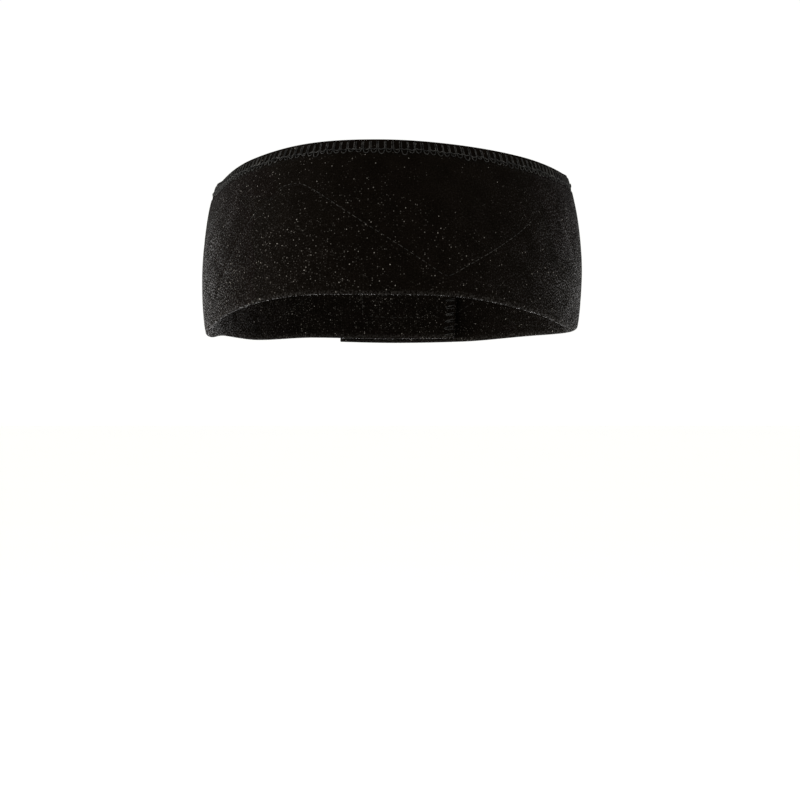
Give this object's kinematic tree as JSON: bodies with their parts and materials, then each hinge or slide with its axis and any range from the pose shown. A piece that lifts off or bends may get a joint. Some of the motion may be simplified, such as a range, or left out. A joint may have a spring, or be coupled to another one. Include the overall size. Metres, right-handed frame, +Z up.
{
  "type": "wig grip band",
  "caption": "Wide velvet grip band worn round the hairline under a wig, folded and quilted, with an overlocked top edge and tapered tails fastened behind the head.",
  "frame": {"origin": "middle of the head opening, halfway up the band", "axes": "+Z up as worn, the forehead towards -Y, the fastener towards +Y, +X to the right of someone facing the wearer"},
  "size_m": [0.1571, 0.2058, 0.0771],
  "materials": {
    "velvet": "short black velvet pile with a soft grey sheen at grazing angles and a few pale specks",
    "overlock_thread": "dark grey spun thread",
    "hook_and_loop": "matt black hook and loop tape"
  },
  "bodies": {
    "root": {"velvet_band": "velvet", "overlock_edge": "overlock_thread", "closure_pad": "hook_and_loop"}
  },
  "joints": []
}
